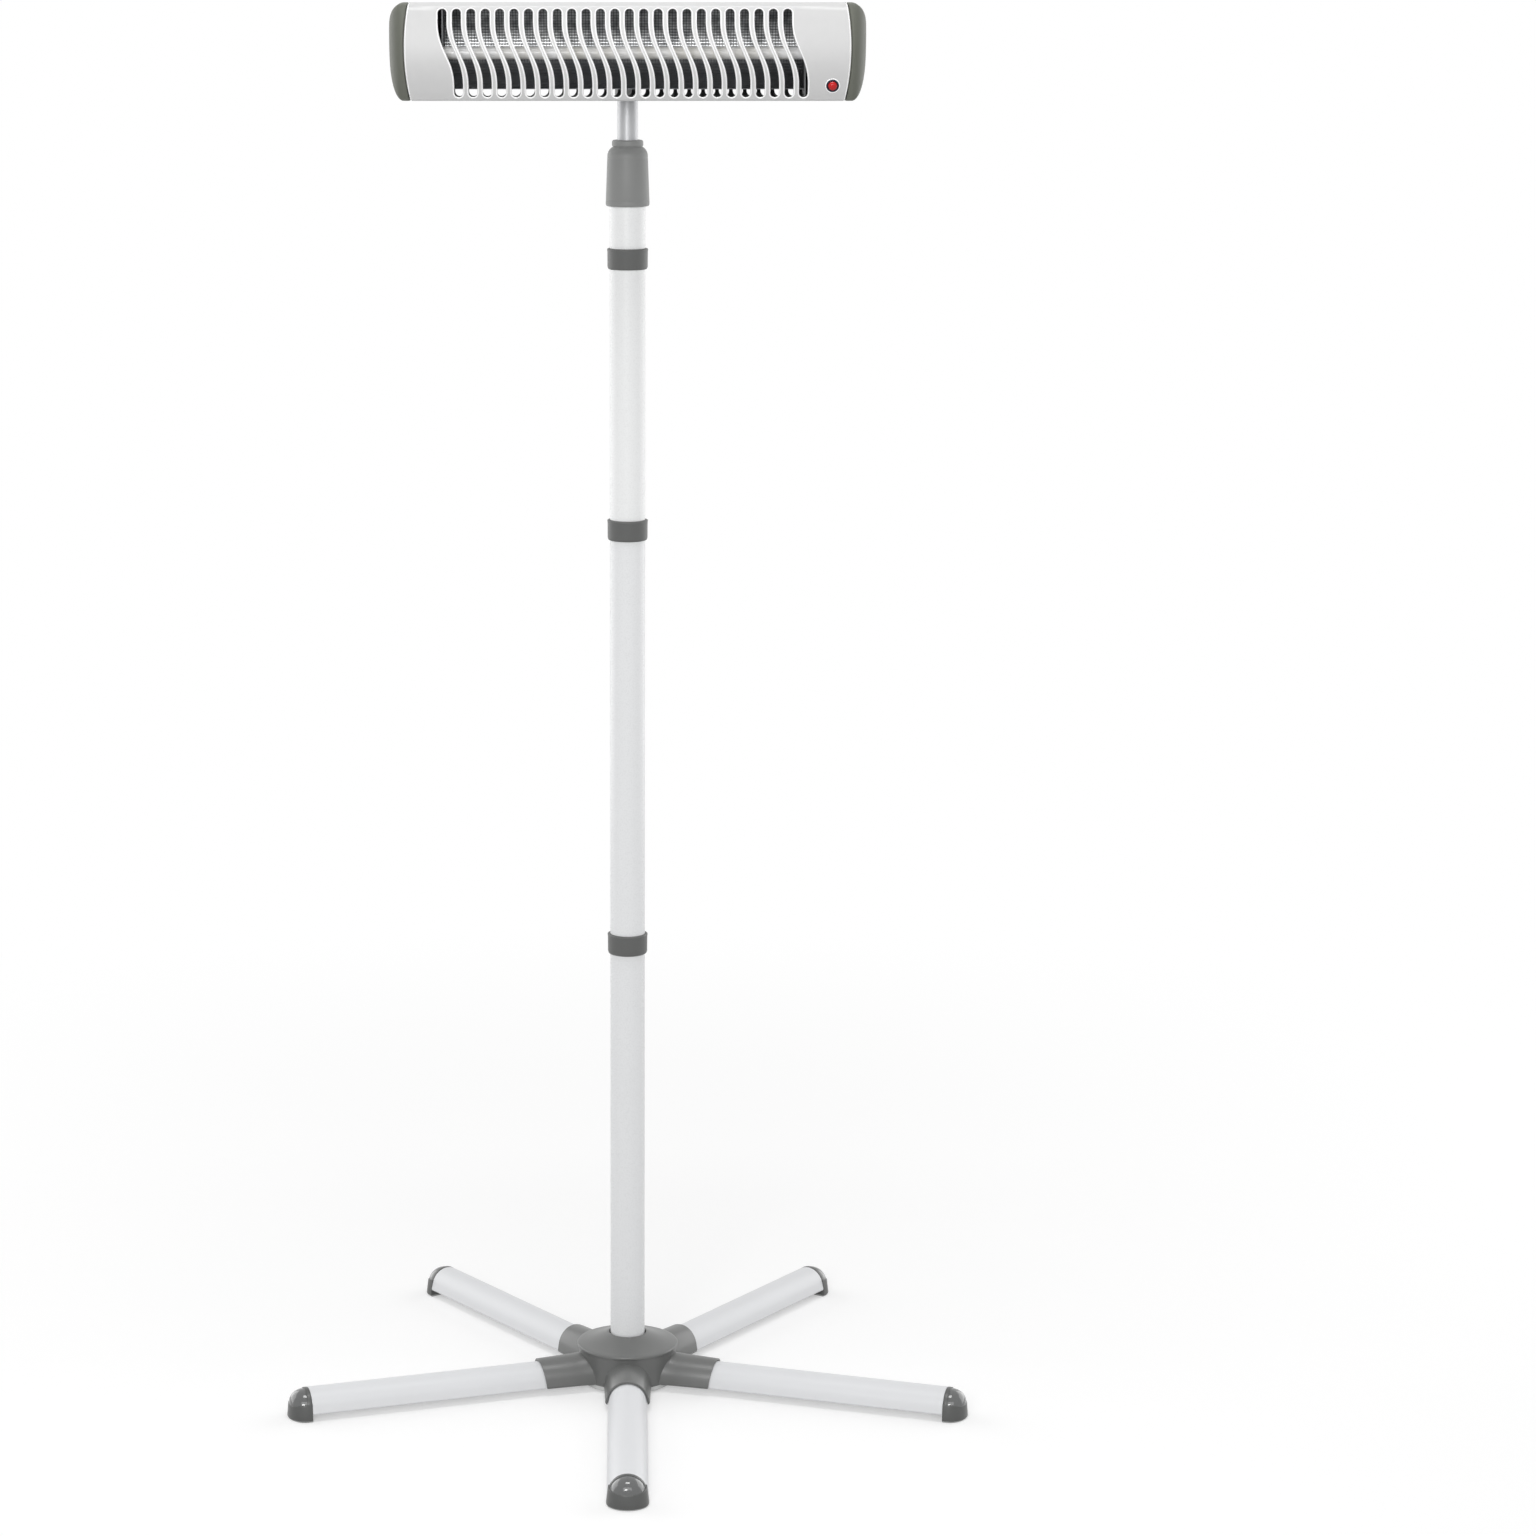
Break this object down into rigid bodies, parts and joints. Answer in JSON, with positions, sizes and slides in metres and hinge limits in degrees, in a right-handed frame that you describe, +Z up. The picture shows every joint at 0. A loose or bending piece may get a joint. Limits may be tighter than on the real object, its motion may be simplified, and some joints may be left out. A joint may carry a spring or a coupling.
{
  "type": "quartz heater on a telescopic floor stand",
  "caption": "Quartz radiant heater: horizontal slotted head that tilts on a height-adjustable mast with a twist clamp and a star-shaped leg base.",
  "frame": {"origin": "middle of the footprint on the floor", "axes": "+Z up along the mast, +X along the heater head to its button end, -Y is the way the heater faces"},
  "size_m": [0.7438, 0.7096, 1.5245],
  "materials": {
    "leg_paint": "satin light grey powder coat",
    "mast_paint": "satin light grey powder coat",
    "inner_tube_paint": "satin silver coat",
    "casing_paint": "fine-grained silver-white coat",
    "bracket_paint": "matte dark grey coat",
    "foot_plastic": "glossy dark grey",
    "base_plastic": "satin dark grey",
    "plate_plastic": "satin light grey",
    "collar_plastic": "satin mid grey",
    "end_cap_plastic": "matte warm grey",
    "cover_plastic": "matte dark grey",
    "steel": "zinc plated",
    "reflector_sheet": "embossed bright sheet",
    "milky_quartz": "milky white quartz",
    "coil_wire": "drawn resistance wire",
    "ceramic_white": "unglazed white",
    "bezel_plastic": "glossy navy black",
    "button_red": "glossy red",
    "black_rubber": "matte black"
  },
  "bodies": {
    "base": {"leg_front": "leg_paint", "foot_cap_front": "foot_plastic", "leg_front_right": "leg_paint", "foot_cap_front_right": "foot_plastic", "leg_rear_right": "leg_paint", "foot_cap_rear_right": "foot_plastic", "leg_rear_left": "leg_paint", "foot_cap_rear_left": "foot_plastic", "leg_front_left": "leg_paint", "foot_cap_front_left": "foot_plastic", "hub": "base_plastic", "bottom_plate": "plate_plastic", "centre_bolt": "steel", "mast_plug": "base_plastic", "leg_screws": "steel", "mast_tube_lower": "mast_paint", "mast_tube_middle": "mast_paint", "mast_tube_upper": "mast_paint", "mast_tube_top": "mast_paint", "coupler_lower": "collar_plastic", "coupler_middle": "collar_plastic", "coupler_upper": "collar_plastic", "clamp_collet": "collar_plastic"},
    "clamp_sleeve": {"clamp_sleeve": "collar_plastic"},
    "inner_mast": {"inner_tube": "inner_tube_paint", "inner_tube_glide": "base_plastic", "tilt_fitting": "collar_plastic", "friction_washers": "black_rubber"},
    "head": {"tilt_bracket": "bracket_paint", "bracket_screws": "steel", "pivot_bolt": "steel", "knob_washer": "steel", "front_casing": "casing_paint", "rear_cover": "cover_plastic", "end_cap_left": "end_cap_plastic", "end_cap_right": "end_cap_plastic", "cover_screws": "steel", "reflector": "reflector_sheet", "end_plate_left": "reflector_sheet", "end_plate_right": "reflector_sheet", "ceramic_socket_left": "ceramic_white", "ceramic_socket_right": "ceramic_white", "quartz_tube": "milky_quartz", "heating_coil": "coil_wire", "thermal_cutout": "steel", "button_bezel": "bezel_plastic", "switch_block": "base_plastic", "terminal_block": "ceramic_white", "cable_inlet": "black_rubber"},
    "tilt_knob": {"tilt_knob": "foot_plastic"},
    "power_button": {"power_button": "button_red"}
  },
  "joints": [
    {"name": "clamp_twist", "type": "hinge", "parent": "base", "child": "clamp_sleeve", "pos_m": [0, 0.03524, 1.3085], "axis": [0, 0, 1], "range_deg": [0, 90]},
    {"name": "mast_slide", "type": "slide", "parent": "base", "child": "inner_mast", "axis": [0, 0, 1], "range_m": [-0.044, 0.32]},
    {"name": "head_tilt", "type": "hinge", "parent": "inner_mast", "child": "head", "pos_m": [0, 0.03524, 1.474], "axis": [1, 0, 0], "range_deg": [-10, 35]},
    {"name": "knob_turn", "type": "hinge", "parent": "head", "child": "tilt_knob", "pos_m": [0.02, 0.03524, 1.474], "axis": [1, 0, 0], "range_deg": [0, 180]},
    {"name": "button_press", "type": "slide", "parent": "head", "child": "power_button", "axis": [0, 0.9691, 0.2468], "range_m": [0, 0.0018], "stiffness_N_per_m": 1200, "springref_m": -0.0005}
  ]
}
